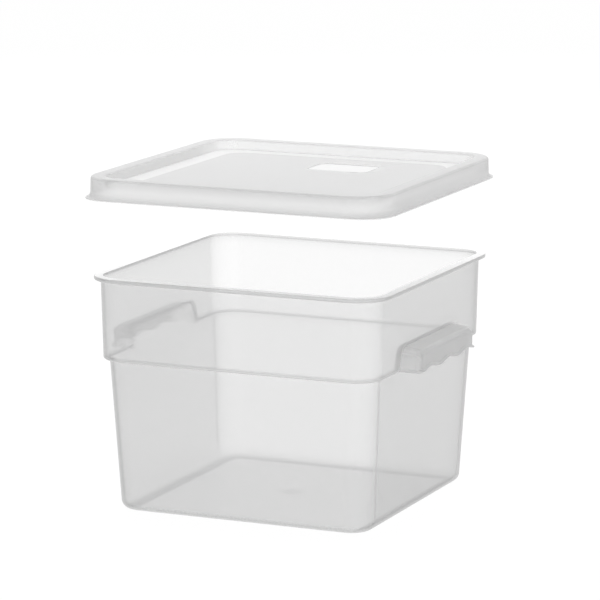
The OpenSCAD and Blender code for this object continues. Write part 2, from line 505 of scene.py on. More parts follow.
def soft_step(share: np.ndarray, end: float) -> np.ndarray:
    """A ramp from 0 to 1 that is straight in the middle and rounded over a share of it at each end.

    Args:
        share: Where on the ramp, from 0 to 1.
        end: The share that is rounded.

    Returns:
        The ramp's height there.
    """
    s = np.clip(share, 0, 1)
    low = s**2 / (2 * end * (1 - end))
    high = 1 - (1 - s) ** 2 / (2 * end * (1 - end))
    return np.where(s < end, low, np.where(s > 1 - end, high, (s - end / 2) / (1 - end)))


@dataclass(frozen=True)
class Plastic:
    """Natural polypropylene: clear in itself and milky at the face that the mould left matt.

    Two attributes steer it: matt is 0 on the faces that the mould left smooth and 1 on its plain matt ones.
    It is more on the rim, the ledge, the creases and the grips' outer walls, where the extra is painted
    shade, and less on the grips' ends, as painted light. polish is 1 where a face is painted whiter,
    standing in for the light that it catches. haze is the share that a plain matt face scatters, met head
    on. front_spread and back_spread are the shares of this that have come through the face, where it is seen
    from outside the plastic and from inside it.
    """

    name: str
    haze: float = 0.27
    smooth_haze: float = 0.012
    milk: tuple[float, float, float] = (0.85, 0.85, 0.85)
    # The whiter milk of faces marked polish: painted light.
    painted_light_milk: tuple[float, float, float] = (1.0, 1.0, 1.0)
    density: float = 25.0
    roughness: float = 0.30
    mirror: float = 0.05
    steep_mirror: float = 0.30
    steep_power: float = 5.0
    front_spread: float = 0.0
    back_spread: float = 1.0
    grain: float = 0.02
    grain_size: float = 1.6 * MM
    grain_height: float = 0.1 * MM
    speckle: float = 0.9
    speckle_size: float = 2.4 * MM
    speckle_below: float = 6.0 * MM
    cloud: float = 0.04
    cloud_size: float = 45 * MM
    edge_floor: float = 0.10
    slant_power: float = 0.8

    def build(self) -> bpy.types.Material:
        """Builds the material.

        Returns:
            The material.
        """
        material = bpy.data.materials.new(self.name)
        draw = Canvas.on(material)
        spot = draw.add("ShaderNodeTexCoord").outputs["Object"]
        # Painted light: faces marked polish take a whiter milk.
        polish = draw.add("ShaderNodeAttribute", attribute_name="polish").outputs["Fac"]
        grain = self._noise(draw, spot, self.grain_size, detail=3.0)
        relief = {"Height": grain, "Distance": self.grain_height, "Strength": self.grain}
        bump = draw.out("ShaderNodeBump", relief)
        facing = draw.add("ShaderNodeLayerWeight", {"Blend": 0.5}).outputs["Facing"]
        haze = self._haze(draw, spot, facing)
        clear = draw.out("ShaderNodeBsdfTransparent", {"Color": WHITE})
        milk = self._milk(draw, bump, polish)
        body = draw.out("ShaderNodeMixShader", {0: haze, 1: clear, 2: milk})
        gloss = {"Color": WHITE, "Roughness": self.roughness, "Normal": bump}
        shine = draw.out("ShaderNodeBsdfGlossy", gloss)
        steep = draw.math("POWER", facing, self.steep_power)
        reflect = draw.math("MULTIPLY_ADD", steep, self.steep_mirror, self.mirror)
        surface = draw.out("ShaderNodeMixShader", {0: reflect, 1: body, 2: shine})
        inside = draw.out("ShaderNodeVolumeAbsorption", {"Color": BLACK, "Density": self.density})
        draw.add("ShaderNodeOutputMaterial", {"Surface": surface, "Volume": inside})
        return material

    @staticmethod
    def _noise(
        draw: Canvas, spot: bpy.types.NodeSocket, size: float, detail: float
    ) -> bpy.types.NodeSocket:
        """A soft random pattern of a size, about one half."""
        values = {"Vector": spot, "Scale": 1 / size, "Detail": detail}
        return draw.out("ShaderNodeTexNoise", values)

    def _milk(
        self, draw: Canvas, bump: bpy.types.NodeSocket, polish: bpy.types.NodeSocket
    ) -> bpy.types.NodeSocket:
        """What a matt face scatters: light from its own side, and light that comes through it.

        Args:
            draw: The canvas.
            bump: The fine relief.
            polish: 1 where the face is painted whiter, as painted light.

        Returns:
            The shader.
        """
        # Inputs 6 and 7 and output 2 are a Mix node's colours.
        # polish mixes the milk towards a whiter colour, which is painted light.
        colours = {0: polish, 6: (*self.milk, 1), 7: (*self.painted_light_milk, 1)}
        tint = draw.add("ShaderNodeMix", colours, data_type="RGBA").outputs[2]
        values = {"Color": tint, "Normal": bump}
        behind = draw.add("ShaderNodeNewGeometry").outputs["Backfacing"]
        spread = draw.math("MULTIPLY_ADD", behind, self.back_spread - self.front_spread, self.front_spread)
        near = draw.out("ShaderNodeBsdfDiffuse", values)
        through = draw.out("ShaderNodeBsdfTranslucent", values)
        return draw.out("ShaderNodeMixShader", {0: spread, 1: near, 2: through})

    def _haze(
        self, draw: Canvas, spot: bpy.types.NodeSocket, facing: bpy.types.NodeSocket
    ) -> bpy.types.NodeSocket:
        """How much of what a face shows is scattered: more where it is looked along.

        Args:
            draw: The canvas.
            spot: Object coordinates.
            facing: 0 where the surface is met head on and 1 along it.

        Returns:
            The share.
        """
        matt = draw.add("ShaderNodeAttribute", attribute_name="matt").outputs["Fac"]
        cosine = draw.math("MAXIMUM", draw.math("SUBTRACT", 1.0, facing), self.edge_floor)
        slant = draw.math("POWER", cosine, self.slant_power)
        cloud = draw.math("SUBTRACT", self._noise(draw, spot, self.cloud_size, detail=4.0), 0.5)
        patch = draw.math("MULTIPLY_ADD", cloud, self.cloud, 1.0)
        low = draw.math("LESS_THAN", draw.split(spot)["Z"], self.speckle_below)
        fleck = draw.math("SUBTRACT", self._noise(draw, spot, self.speckle_size, detail=2.0), 0.5)
        patch = draw.math("MULTIPLY_ADD", draw.math("MULTIPLY", fleck, low), self.speckle, patch)
        share = draw.math("MULTIPLY_ADD", matt, self.haze - self.smooth_haze, self.smooth_haze)
        amount = draw.math("MULTIPLY", draw.math("DIVIDE", share, slant), patch)
        return draw.math("SUBTRACT", 1.0, draw.math("EXPONENT", draw.math("MULTIPLY", amount, -1.0)))


CONTAINER_PLASTIC = Plastic("container_plastic")
GRIP_PLASTIC = Plastic("grip_plastic", haze=0.50, milk=(0.82,) * 3, density=15.0, front_spread=0.3)
LID_PLASTIC = Plastic(
    "lid_plastic", haze=0.75, milk=(0.82,) * 3, density=13.0, front_spread=0.6, back_spread=0.8
)


@dataclass
class Container:
    """The container: a tapered shell with a collar, a flange and a recess behind each grip.

    Heights start at the base, and a half width goes from the middle to the outer face.
    """

    height: float = field(default_factory=lambda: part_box("container")[1].z)
    rim_half: float = field(default_factory=lambda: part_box("container")[1].y)
    rim_overhang: float = 6.7 * MM
    rim_thick: float = 3.6 * MM
    rim_edge: float = 1.1 * MM
    collar_high: float = 76.5 * MM
    collar_taper: float = 1.4 * MM
    shoulder_step: float = 4.9 * MM
    body_taper: float = 7.4 * MM
    wall: float = 2.8 * MM
    floor: float = 3.0 * MM
    rim_corner: float = 33.0 * MM
    collar_corner: float = 24.5 * MM
    body_corner: float = 22.0 * MM
    base_fillet: float = 11.6 * MM
    shoulder_fillet: float = 3.0 * MM
    step_fillet: float = 0.8 * MM
    inner_step_fillet: float = 1.0 * MM
    flange_fillet: float = 1.2 * MM
    foot_fillet: float = 0.4 * MM
    foot_ring_fillet: float = 0.6 * MM
    gate_fillet: float = 0.3 * MM
    foot: float = 4.0 * MM
    foot_rise: float = 0.8 * MM
    gate: float = 11.0 * MM
    gate_depth: float = 0.5 * MM
    recess_half: float = 69.5 * MM
    recess_flare: float = 9.0 * MM
    recess_lean: float = 8.0 * MM
    recess_top: float = 157.7 * MM
    recess_rise: float = 2.5 * MM
    recess_corner: float = 8.0 * MM
    recess_soft: float = 0.3
    recess_inner_long: float = 0.6 * MM
    recess_inner_high: float = 1.6 * MM
    foot_blend: float = 9.0 * MM
    dense_from: float = 20.0 * MM
    dense_past: float = 4.0 * MM
    dense: float = 1.0 * MM
    sparse: float = 9.0 * MM
    flat: float = 40.0 * MM
    flat_under: float = 30.0 * MM
    corner_steps: int = 20
    # Extra haze on the rim, the ledge and the creases is painted shade: it draws their dark lines.
    rim_matt_and_painted_shade: float = 2.0
    ledge_matt_and_painted_shade: float = 2.2
    ledge_low: float = 0.5 * MM
    ledge_high: float = 3.0 * MM
    crease_painted_shade: float = 3.0
    crease_gap: float = 1.0 * MM
    floor_matt: float = 0.1
    near: float = 0.2 * MM

    @property
    def shoulder(self) -> float:
        """Height of the shoulder."""
        return self.height - self.collar_high

    @property
    def collar_top(self) -> float:
        """Half width of the collar under the flange."""
        return self.rim_half - self.rim_overhang

    @property
    def collar_foot(self) -> float:
        """Half width of the collar at the shoulder."""
        return self.collar_top - self.collar_taper

    @property
    def body_top(self) -> float:
        """Half width of the lower body at the shoulder."""
        return self.collar_foot - self.shoulder_step

    @property
    def base_half(self) -> float:
        """Half width of the lower body at the base."""
        return self.body_top - self.body_taper

    def body_half(self, height: np.ndarray | float) -> np.ndarray | float:
        """Half width of the lower body at a height."""
        return self.base_half + self.body_taper * height / self.shoulder

    def collar_half(self, height: float) -> float:
        """Half width of the collar at a height."""
        return self.collar_foot + self.collar_taper * (height - self.shoulder) / self.collar_high

    def section(self) -> Section:
        """Lays out the wall's section.

        Returns:
            The section, from the middle of the underside to the middle of the floor.
        """
        wall, shoulder = self.wall, self.shoulder
        over = self.recess_top + self.recess_rise + self.dense_past
        gate_z = self.foot_rise + self.gate_depth
        gate_out = self.gate + self.gate_depth
        foot_in = self.base_half - self.base_fillet - self.foot
        foot_r = self.body_corner - self.base_fillet - self.foot
        rise, ring_fillet = self.foot_rise, self.foot_ring_fillet
        under = self.height - self.rim_thick
        inner_fillet = self.base_fillet - wall
        floor_half = self.base_half - wall - inner_fillet - self.foot
        floor_r = self.body_corner - wall - inner_fillet - self.foot
        collar_r, body_r = self.collar_corner - wall, self.body_corner - wall
        dense_out = {"spacing": self.dense, "zone": Zone.OUTER_WALL}
        dense_in = {"spacing": self.dense, "zone": Zone.INNER_WALL}
        sparse = {"spacing": self.sparse}
        return Section((
            Corner(0, gate_z, 0),
            Corner(self.gate, gate_z, self.gate, self.gate_fillet),
            Corner(gate_out, rise, gate_out, self.gate_fillet, spacing=self.flat_under),
            Corner(foot_in - rise, rise, foot_r - rise, ring_fillet),
            Corner(foot_in, 0, foot_r, self.foot_fillet),
            Corner(self.base_half, 0, self.body_corner, self.base_fillet, **sparse),
            Corner(self.body_top, shoulder, self.body_corner, self.step_fillet, **dense_out),
            Corner(self.collar_foot, shoulder, self.collar_corner, self.shoulder_fillet, **dense_out),
            Corner(self.collar_half(over), over, self.collar_corner, **sparse),
            Corner(self.collar_top, under, self.collar_corner, self.flange_fillet),
            Corner(self.rim_half, under, self.rim_corner, self.rim_edge),
            Corner(self.rim_half, self.height, self.rim_corner, self.rim_edge),
            Corner(self.collar_top - wall, self.height, collar_r, self.rim_edge, **sparse),
            Corner(self.collar_half(over) - wall, over, collar_r, **dense_in),
            Corner(self.collar_foot - wall, shoulder + wall, collar_r, self.flange_fillet, **dense_in),
            Corner(self.body_top - wall, shoulder + wall, body_r, self.inner_step_fillet, **sparse),
            Corner(self.base_half - wall, self.floor, body_r, inner_fillet),
            Corner(floor_half, self.floor, floor_r, spacing=self.flat),
            Corner(0, self.floor, 0),
        ))

    def columns(self) -> Columns:
        """Lays out columns that lie close together at the ends of the recesses.

        Returns:
            The columns.
        """
        reach = self.collar_foot - self.collar_corner
        low = self.recess_half - self.dense_from
        high = self.recess_half + self.recess_flare + self.dense_past
        middle_steps, flank_steps, outer_steps, plain_steps = 13, 41, 6, 25
        middle = np.linspace(0, low, middle_steps + 1)
        flank = np.linspace(low, high, flank_steps + 1)[1:]
        outer = np.linspace(high, reach, outer_steps + 1)[1:-1]
        half = np.concatenate([middle, flank, outer]) / reach
        grip_side = np.concatenate([-half[::-1], half[1:]]).tolist()
        plain_side = np.linspace(-1, 1, plain_steps + 1)[1:-1].tolist()
        return Columns.around(self.corner_steps, [plain_side, grip_side, plain_side, grip_side])

    def make(self, loft: RingLoft, material: bpy.types.Material) -> bpy.types.Object:
        """Makes the shell.

        Args:
            loft: The tree that lofts it.
            material: What it is dressed in.

        Returns:
            The piece.
        """
        levels, zones = self.section().levels()
        shell = loft.make("container_shell", levels, self.columns(), material)
        of_level = take_levels(shell)
        matt = self._finish(levels)[of_level]
        # Painted shade: the creases get extra haze, which draws them as darker upright lines.
        matt[self._creases(read_points(shell), levels[of_level])] = self.crease_painted_shade
        self._sink_recesses(shell, of_level, levels, zones, matt)
        mark(shell, "matt", "POINT", matt)
        # Painted light: the rim's top is painted whiter.
        mark(shell, "polish", "FACE", self._rim_top(shell))
        return face_outwards(shell)

    def _finish(self, levels: np.ndarray) -> np.ndarray:
        """How strongly the face at each level scatters.

        The mould left the outside matt. The thick rim and the shoulder's ledge get extra haze, which is
        painted shade that draws their dark lines, and the underside less.

        Args:
            levels: The loft's levels.

        Returns:
            A factor for each level.
        """
        half, height = levels[:, 0], levels[:, 1]
        outside = np.arange(len(levels)) <= np.argmax(height)
        rim = height > self.height - self.rim_thick - self.rim_edge
        above = height - self.shoulder
        ledge = (above > -self.ledge_low) & (above < self.ledge_high) & (half > self.body_top + self.near)
        # The rim and the ledge take extra haze as painted shade.
        factor = np.where(rim, self.rim_matt_and_painted_shade, np.where(ledge, self.ledge_matt_and_painted_shade, 1.0)) * outside
        under = (height < self.floor / 2) & (half < self.base_half - self.base_fillet - self.foot)
        factor[under & (half > self.gate)] = self.floor_matt
        factor[height > self.height - self.near / 4] = self.rim_matt_and_painted_shade
        return factor

    def _creases(self, points: np.ndarray, rows: np.ndarray) -> np.ndarray:
        """Which points lie on the fine upright lines where the lower body's grip walls end, which extra haze
        draws as painted shade.

        Args:
            points: The shell's points.
            rows: The row of each one's level.

        Returns:
            True for those points.
        """
        half, height, plan_r = rows[:, 0], rows[:, 1], rows[:, 2]
        x, y = np.abs(points[:, 0]), np.abs(points[:, 1])
        body = (height > self.base_fillet) & (height < self.shoulder - self.crease_gap)
        outer = np.abs(x - self.body_half(height)) < self.near / 2
        return body & outer & (np.abs(y - half + plan_r) < self.near / 20)

    def _rim_top(self, shell: bpy.types.Object) -> np.ndarray:
        """Finds the top of the rim, which is painted whiter as painted light.

        Args:
            shell: The lofted shell.

        Returns:
            1 for each face on top of the rim and 0 for the others.
        """
        low, upright = self.height - self.near, 0.9
        faces = shell.data.polygons
        return np.array([float(face.normal.z > upright and face.center.z > low) for face in faces])

    def _sink_recesses(
        self,
        shell: bpy.types.Object,
        of_level: np.ndarray,
        levels: np.ndarray,
        zones: list[Zone],
        matt: np.ndarray,
    ) -> None:
        """Takes the collar back to the line of the lower body behind each grip, on both faces of the wall.

        Args:
            shell: The lofted shell.
            of_level: Which level each of its points belongs to.
            levels: The loft's levels.
            zones: The levels' zones.
            matt: How strongly each point scatters, which the recess's back evens out.
        """
        points = read_points(shell)
        straight_half = self.collar_foot - self.collar_corner
        for zone, inset, in_share in ((Zone.OUTER_WALL, 0.0, 0.0), (Zone.INNER_WALL, self.wall, 1.0)):
            which = [k for k, z in enumerate(zones) if z is zone]
            if levels[which[0], 1] > levels[which[-1], 1]:
                which.reverse()
            upwards = levels[which]
            along = np.concatenate([[0], np.cumsum(np.hypot(*np.diff(upwards[:, :2], axis=0).T))])
            foot_z = self.shoulder + inset
            blend_z = foot_z + self.foot_blend
            last = int(np.searchsorted(upwards[:, 1], blend_z + TINY))
            straight = upwards[:, 1].copy()
            straight[:last] = foot_z + (upwards[last, 1] - foot_z) * along[:last] / along[last]
            target = np.full(len(levels), np.nan)
            target[which] = straight
            mine = np.isfinite(target[of_level]) & (np.abs(points[:, 1]) < straight_half)
            mine &= np.abs(points[:, 0]) > self.base_half - self.wall
            p = points[mine]
            z_to = target[of_level[mine]]
            half = self.recess_half + in_share * self.recess_inner_long
            top = self.recess_top + in_share * self.recess_inner_high
            sunk = self._recess_share(p[:, 1], np.maximum(z_to, self.shoulder), half, top)
            x_to = np.sign(p[:, 0]) * (self.body_half(z_to) - inset)
            p[:, 0] += (x_to - p[:, 0]) * sunk
            p[:, 2] += (z_to - p[:, 2]) * sunk
            points[mine] = p
            matt[mine] += (1 - in_share - matt[mine]) * sunk
        write_points(shell, points)

    def _recess_share(self, y: np.ndarray, z: np.ndarray, half: float, top: float) -> np.ndarray:
        """How far a point of the wall is sunk: 1 on the recess's back, 0 outside it.

        The outline's ends lean in towards its top, and its top corners are rounded.

        Args:
            y: Places along the wall.
            z: Heights.
            half: Half the length of the foot of the recess's back.
            top: Height of its top.

        Returns:
            The share at each point.
        """
        r = self.recess_corner
        foot_z = self.shoulder - self.shoulder_fillet

        def outside(share: np.ndarray | float) -> np.ndarray:
            """Measures from the recess's outline, grown by a share of its flank.

            Args:
                share: 0 for the outline of its back, 1 for that of its mouth.

            Returns:
                Each point's distance, below 0 inside.
            """
            high = top + self.recess_rise * share - r - foot_z
            in_from_foot = self.recess_lean + r
            lean = np.arctan2(in_from_foot, high) - np.arcsin(r / np.hypot(in_from_foot, high))
            across = np.abs(y) - (half + self.recess_flare * share - in_from_foot)
            up = z - foot_z - high
            flank = across * np.cos(lean) + up * np.sin(lean)
            in_corner = (np.arctan2(up, across) > lean) & (across > 0) & (up > 0)
            return np.where(in_corner, np.hypot(across, up), np.maximum(flank, up)) - r

        halvings = 24
        low, high = np.zeros_like(y), np.ones_like(y)
        for _ in range(halvings):
            middle = (low + high) / 2
            out = outside(middle) > 0
            low, high = np.where(out, middle, low), np.where(out, high, middle)
        share = np.where(outside(0.0) <= 0, 0.0, np.where(outside(1.0) >= 0, 1.0, (low + high) / 2))
        return 1 - soft_step(share, self.recess_soft)


@dataclass
class Grip:
    """A moulded grip: a hood that is open below, with finger hollows and a bead along its lower edge.

    Its back edge lies at root, inside the container's wall, and it comes out of the wall at root_face. Its
    roof drops by fall from there to the outer wall, and by end_fall more towards its two ends.
    """

    reach: float = field(default_factory=lambda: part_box("container")[1].x)
    root: float = 129.0 * MM
    half: float = 65.5 * MM
    foot: float = 138.0 * MM
    top: float = 160.0 * MM
    fall: float = 2.5 * MM
    end_fall: float = 3.0 * MM
    edge: float = 6.0 * MM
    root_face: float = 130.4 * MM
    root_fillet: float = 3.0 * MM
    wall: float = 2.2 * MM
    fingers: int = 3
    finger_depth: float = 3.2 * MM
    bead: float = 2.0 * MM
    bead_high: float = 2.1 * MM
    bead_soft: float = 0.45
    end_fall_long: float = 9.6 * MM
    hem: float = 3.6 * MM
    hem_dense: float = 1.2 * MM
    roof_from: float = 0.72
    step_out: float = 1.5 * MM
    step_along: float = 1.2 * MM
    root_steps: int = 12
    edge_steps: int = 8
    weld: float = 0.0001 * MM
    lip_round: float = 0.5 * MM
    lip_steps: int = 6
    # Grip haze: more on the outer wall as painted shade, less on the ends as painted light.
    wall_painted_shade: float = 1.8
    end_painted_light: float = 0.62

    @property
    def out(self) -> float:
        """Place of the outer wall over the bead."""
        return self.reach - self.bead

    def lower_edge(self, y: np.ndarray) -> np.ndarray:
        """Height of the wavy lower edge at places along the grip."""
        turns = self.fingers * (np.abs(y) + self.half) / (2 * self.half)
        return self.foot + self.finger_depth * (1 - np.cos(2 * math.pi * turns)) / 2

    def make(self, name: str, side: int, material: bpy.types.Material) -> bpy.types.Object:
        """Makes one grip as a closed mesh whose back edge is sunk in the container's wall.

        Args:
            name: The piece's name.
            side: 1 for the +X wall, -1 for the -X wall.
            material: What it is dressed in.

        Returns:
            The piece.
        """
        sheet, faces = self._sheet()
        outer, inner, down, outwards = self._faces_of(sheet)
        points, solid = self._thicken(outer, inner, down, faces)
        points[:, 0] *= side
        matt = np.zeros(len(points))
        # Painted shade and light: the outer wall gets more haze and darkens, the ends less and lighten.
        matt[: len(outer)] = self.end_painted_light + (self.wall_painted_shade - self.end_painted_light) * outwards**2
        piece = add_mesh(name, points, solid)
        piece.data.materials.append(material)
        piece.data.shade_smooth()
        mark(piece, "matt", "POINT", matt)
        return face_outwards(piece)

    def _sheet(self) -> tuple[list[tuple], list[tuple]]:
        """Lays out the grip's walls and roof as a square box of sheet, open below and at its back.

        Returns:
            The sheet's points and its faces. A point is x, y and a height, which is a rise from the lower
            edge or a share of the way from the hem up to the roof.
        """
        filleted = self.root_face + self.root_fillet
        xs = self._spread(filleted, self.out, self.step_out, False, True)
        xs = np.concatenate([np.linspace(self.root, filleted, self.root_steps)[:-1], xs])
        ys = self._spread(-self.half, self.half, self.step_along, True, True)
        low_steps, hem_steps, wall_steps = 4, 6, 8
        rises = [
            *np.linspace(0, self.hem_dense, low_steps + 1),
            *np.linspace(self.hem_dense, self.hem, hem_steps + 1)[1:],
        ]
        shares = [
            *np.linspace(0, self.roof_from, wall_steps + 1)[1:-1],
            *np.linspace(self.roof_from, 1, self.edge_steps),
        ]
        heights = [(Measure.RISE, rise) for rise in rises] + [(Measure.SHARE, share) for share in shares]
        path = [(x, -self.half) for x in xs] + [(self.out, y) for y in ys[1:]]
        path += [(x, self.half) for x in xs[-2::-1]]
        corners, sheet = {}, []

        def corner(x: float, y: float, high: tuple[Measure, float]) -> int:
            """Finds a point of the sheet, or makes it.

            Args:
                x: Its place out from the container.
                y: Its place along the grip.
                high: Its height.

            Returns:
                Its number.
            """
            key = (round(x / self.weld), round(y / self.weld), high)
            if key not in corners:
                corners[key] = len(sheet)
                sheet.append((x, y, high))
            return corners[key]

        faces = []
        for here, there in zip(path, path[1:]):
            for low, high in zip(heights, heights[1:]):
                around = ((here, low), (there, low), (there, high), (here, high))
                faces.append(tuple(corner(*place, level) for place, level in around))
        roof = heights[-1]
        for x0, x1 in zip(xs, xs[1:]):
            for y0, y1 in zip(ys, ys[1:]):
                around = ((x0, y0), (x1, y0), (x1, y1), (x0, y1))
                faces.append(tuple(corner(x, y, roof) for x, y in around))
        return sheet, faces

    def _spread(self, low: float, high: float, step: float, round_low: bool, round_high: bool) -> np.ndarray:
        """Places between two ends that lie closer together over the rounded edges.

        Args:
            low: The first place.
            high: The last place.
            step: How far apart they lie between the edges.
            round_low: Whether the low end has a rounded edge.
            round_high: Whether the high end has one.

        Returns:
            The places.
        """
        first = low + (self.edge if round_low else 0)
        last = high - (self.edge if round_high else 0)
        middle = np.linspace(first, last, max(2, math.ceil((last - first) / step)))
        edge = np.linspace(0, self.edge, self.edge_steps)[1:]
        parts = [first - edge[::-1]] * round_low + [middle] + [last + edge] * round_high
        return np.concatenate(parts)

    def _faces_of(self, sheet: list[tuple]) -> tuple[np.ndarray, ...]:
        """Rounds a box's sheet over its edges.

        Args:
            sheet: The sheet's points.

        Returns:
            The outer face's points, the inner face's points, which points lie on the lower edge, and how
            squarely each point faces away from the container.
        """
        x = np.array([p[0] for p in sheet])
        y = np.array([p[1] for p in sheet])
        is_rise = np.array([p[2][0] is Measure.RISE for p in sheet])
        amount = np.array([p[2][1] for p in sheet])
        edge_z = self.lower_edge(y)
        start = edge_z + self.hem
        z = np.where(is_rise, edge_z + amount, start + (self.top - start) * amount)
        square = np.column_stack([x, y, z])
        core = np.column_stack([
            np.minimum(x, self.out - self.edge),
            np.clip(y, -self.half + self.edge, self.half - self.edge),
            np.minimum(z, self.top - self.edge),
        ])
        way = square - core
        way /= np.linalg.norm(way, axis=1)[:, None]
        outer = core + way * self.edge
        inner = core + way * (self.edge - self.wall)
        rise = np.maximum(z - edge_z, 0)
        swell = self.bead * (1 - soft_step((rise - self.bead_high / 2) / self.bead_high, self.bead_soft))
        outer[:, :2] += way[:, :2] * swell[:, None]
        near = np.clip(1 - (x - self.root_face) / self.root_fillet, 0, 1)
        outer[:, 1] += way[:, 1] * self.root_fillet * (1 - np.sqrt(1 - near**2))
        up = np.clip((square[:, 2] - edge_z) / (self.top - edge_z), 0, 1)
        to_end = np.clip((np.abs(y) - self.half) / self.end_fall_long + 1, 0, 1)
        lowered = self.fall * (x - self.root) / (self.out - self.root) + self.end_fall * to_end**2
        lowered *= up
        outer[:, 2] -= lowered
        inner[:, 2] -= lowered
        return outer, inner, is_rise & (amount == 0), way[:, 0]

    def _thicken(
        self, outer: np.ndarray, inner: np.ndarray, down: np.ndarray, faces: list[tuple]
    ) -> tuple[np.ndarray, list[tuple]]:
        """Joins the outer and inner faces into a closed solid, rounded along its lower edge.

        Args:
            outer: The outer face's points.
            inner: The inner face's points.
            down: Which points lie on the lower edge.
            faces: The sheet's faces.

        Returns:
            The solid's points and faces.
        """
        used = {}
        for face in faces:
            for a, b in zip(face, face[1:] + face[:1]):
                used[(a, b)] = used.get((a, b), 0) + 1
        open_edges = [edge for edge in used if edge[::-1] not in used]
        count = len(outer)
        points = [outer, inner]
        solid = list(faces) + [tuple(count + v for v in face[::-1]) for face in faces]
        rims = sorted({v for edge in open_edges for v in edge})
        between = {}
        total = 2 * count
        for v in rims:
            chain = [v]
            for step in range(1, self.lip_steps):
                share = step / self.lip_steps
                place = outer[v] + (inner[v] - outer[v]) * (1 - math.cos(math.pi * share)) / 2
                place = place - np.array([0, 0, self.lip_round * math.sin(math.pi * share) * down[v]])
                points.append(place[None])
                chain.append(total)
                total += 1
            between[v] = chain + [count + v]
        for a, b in open_edges:
            for k in range(self.lip_steps):
                solid.append((between[b][k], between[a][k], between[a][k + 1], between[b][k + 1]))
        return np.concatenate(points), solid


@dataclass
class Lid:
    """The lid: a raised band over a skirt with a flared lip, round a sunk well with a gutter and a panel."""

    top: float = field(default_factory=lambda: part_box("lid")[1].z)
    height: float = field(default_factory=lambda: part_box("lid")[1].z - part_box("lid")[0].z)
    container: Container = field(default_factory=Container)
    thick: float = 1.8 * MM
    gap: float = 0.6 * MM
    well_depth: float = 9.3 * MM
    gutter: float = 19.0 * MM
    panel_rise: float = 0.6 * MM
    lip: float = 2.0 * MM
    lip_thick: float = 1.5 * MM
    lip_pull: float = 3.0 * MM
    flare: float = 6.5 * MM
    skirt_taper: float = 0.5 * MM
    plug_taper: float = 0.8 * MM
    band_edge: float = 2.6 * MM
    well_edge: float = 2.0 * MM
    well_foot: float = 1.6 * MM
    label_long: float = 58.0 * MM
    label_wide: float = 40.0 * MM
    label_x: float = 25.0 * MM
    label_y: float = 58.0 * MM
    label_corner: float = 8.0 * MM
    label_depth: float = 0.3 * MM
    cutter_over: float = 1.0 * MM
    panel_fillet: float = 0.3 * MM
    fine_fillet: float = 0.4 * MM
    lip_fillet: float = 0.5 * MM
    plug_fillet: float = 0.6 * MM
    channel_fillet: float = 0.8 * MM
    skirt_fillet: float = 3.0 * MM
    flat: float = 40.0 * MM
    corner_steps: int = 20
    side_steps: int = 19
    arc_steps: int = 8
    sharp_from: float = math.radians(40)
    skirt_foot_matt: float = 1.7
    skirt_top_matt: float = 0.5
    well_matt: float = 0.35

    @property
    def panel_z(self) -> float:
        """Height of the panel's top."""
        return self.top - self.well_depth + self.panel_rise

    @property
    def plug_half(self) -> float:
        """Half width of the plug that goes into the collar, at its top."""
        return self.container.collar_top - self.container.wall - self.gap

    @property
    def panel_half(self) -> float:
        """Half width of the panel."""
        return self.plug_half - self.thick - self.plug_taper - self.gutter

    def section(self) -> Section:
        """Lays out the lid's section.

        Returns:
            The section, from the middle of the underside out to the lip and back to the middle.
        """
        skirt_in = self.container.rim_half + self.gap
        skirt_in_r = self.container.rim_corner + self.gap
        skirt = skirt_in + self.thick
        skirt_r = skirt_in_r + self.thick
        plug = self.plug_half
        plug_r = self.container.collar_corner - self.container.wall - self.gap
        well, well_r = plug - self.thick, plug_r - self.thick
        band, tip = self.top - self.thick, self.top - self.height
        gutter_z = self.panel_z - self.panel_rise
        under = gutter_z - self.thick
        flare_z = tip + self.lip_thick
        flat = {"spacing": self.flat}
        flare = []
        for step in range(self.arc_steps, -1, -1):
            turn = math.pi / 2 * step / self.arc_steps
            past = 1 - math.cos(turn)
            z = flare_z + (self.flare - self.lip_thick) * (1 - math.sin(turn))
            out = self.lip * past - self.skirt_taper * self._share_up(z)
            flare.append(Corner(skirt + out, z, skirt_r + out, pull=self.lip_pull * past))
        panel, panel_r = self.panel_half - self.panel_rise, well_r - self.panel_rise
        lip_in, lip_out = self.lip / 2, self.lip
        return Section((
            Corner(0, under + self.panel_rise, 0, **flat),
            Corner(panel, under + self.panel_rise, panel_r, self.fine_fillet),
            Corner(self.panel_half, under, well_r, self.fine_fillet),
            Corner(plug - self.plug_taper, under, plug_r - self.plug_taper, self.well_foot + self.thick),
            Corner(plug, band, plug_r, self.plug_fillet),
            Corner(skirt_in, band, skirt_in_r, self.channel_fillet),
            Corner(skirt_in, tip + self.flare, skirt_in_r, self.skirt_fillet),
            Corner(skirt_in + lip_in, tip, skirt_in_r + lip_in, self.fine_fillet, self.lip_pull / 2),
            Corner(skirt + lip_out, tip, skirt_r + lip_out, self.lip_fillet, self.lip_pull),
            *flare,
            Corner(skirt - self.skirt_taper, self.top, skirt_r - self.skirt_taper, self.band_edge),
            Corner(well, self.top, well_r, self.well_edge),
            Corner(well - self.plug_taper, gutter_z, well_r - self.plug_taper, self.well_foot),
            Corner(self.panel_half, gutter_z, well_r, self.panel_fillet),
            Corner(panel, self.panel_z, panel_r, self.panel_fillet, **flat),
            Corner(0, self.panel_z, 0),
        ))

    def _share_up(self, height: np.ndarray | float) -> np.ndarray | float:
        """How far up the lid a height lies, from 0 at the lip to 1 at the band's top."""
        return (height - self.top + self.height) / self.height

    def make(self, loft: RingLoft, material: bpy.types.Material) -> bpy.types.Object:
        """Makes the lid with its label field cut in.

        Args:
            loft: The tree that lofts it.
            material: What it is dressed in.

        Returns:
            The piece.
        """
        levels, _ = self.section().levels()
        side = np.linspace(-1, 1, self.side_steps + 1)[1:-1].tolist()
        columns = Columns.around(self.corner_steps, [side] * 4)
        lid = loft.make("lid_shell", levels, columns, material)
        mark(lid, "matt", "POINT", self._finish(levels)[take_levels(lid)])
        self._cut_label(lid)
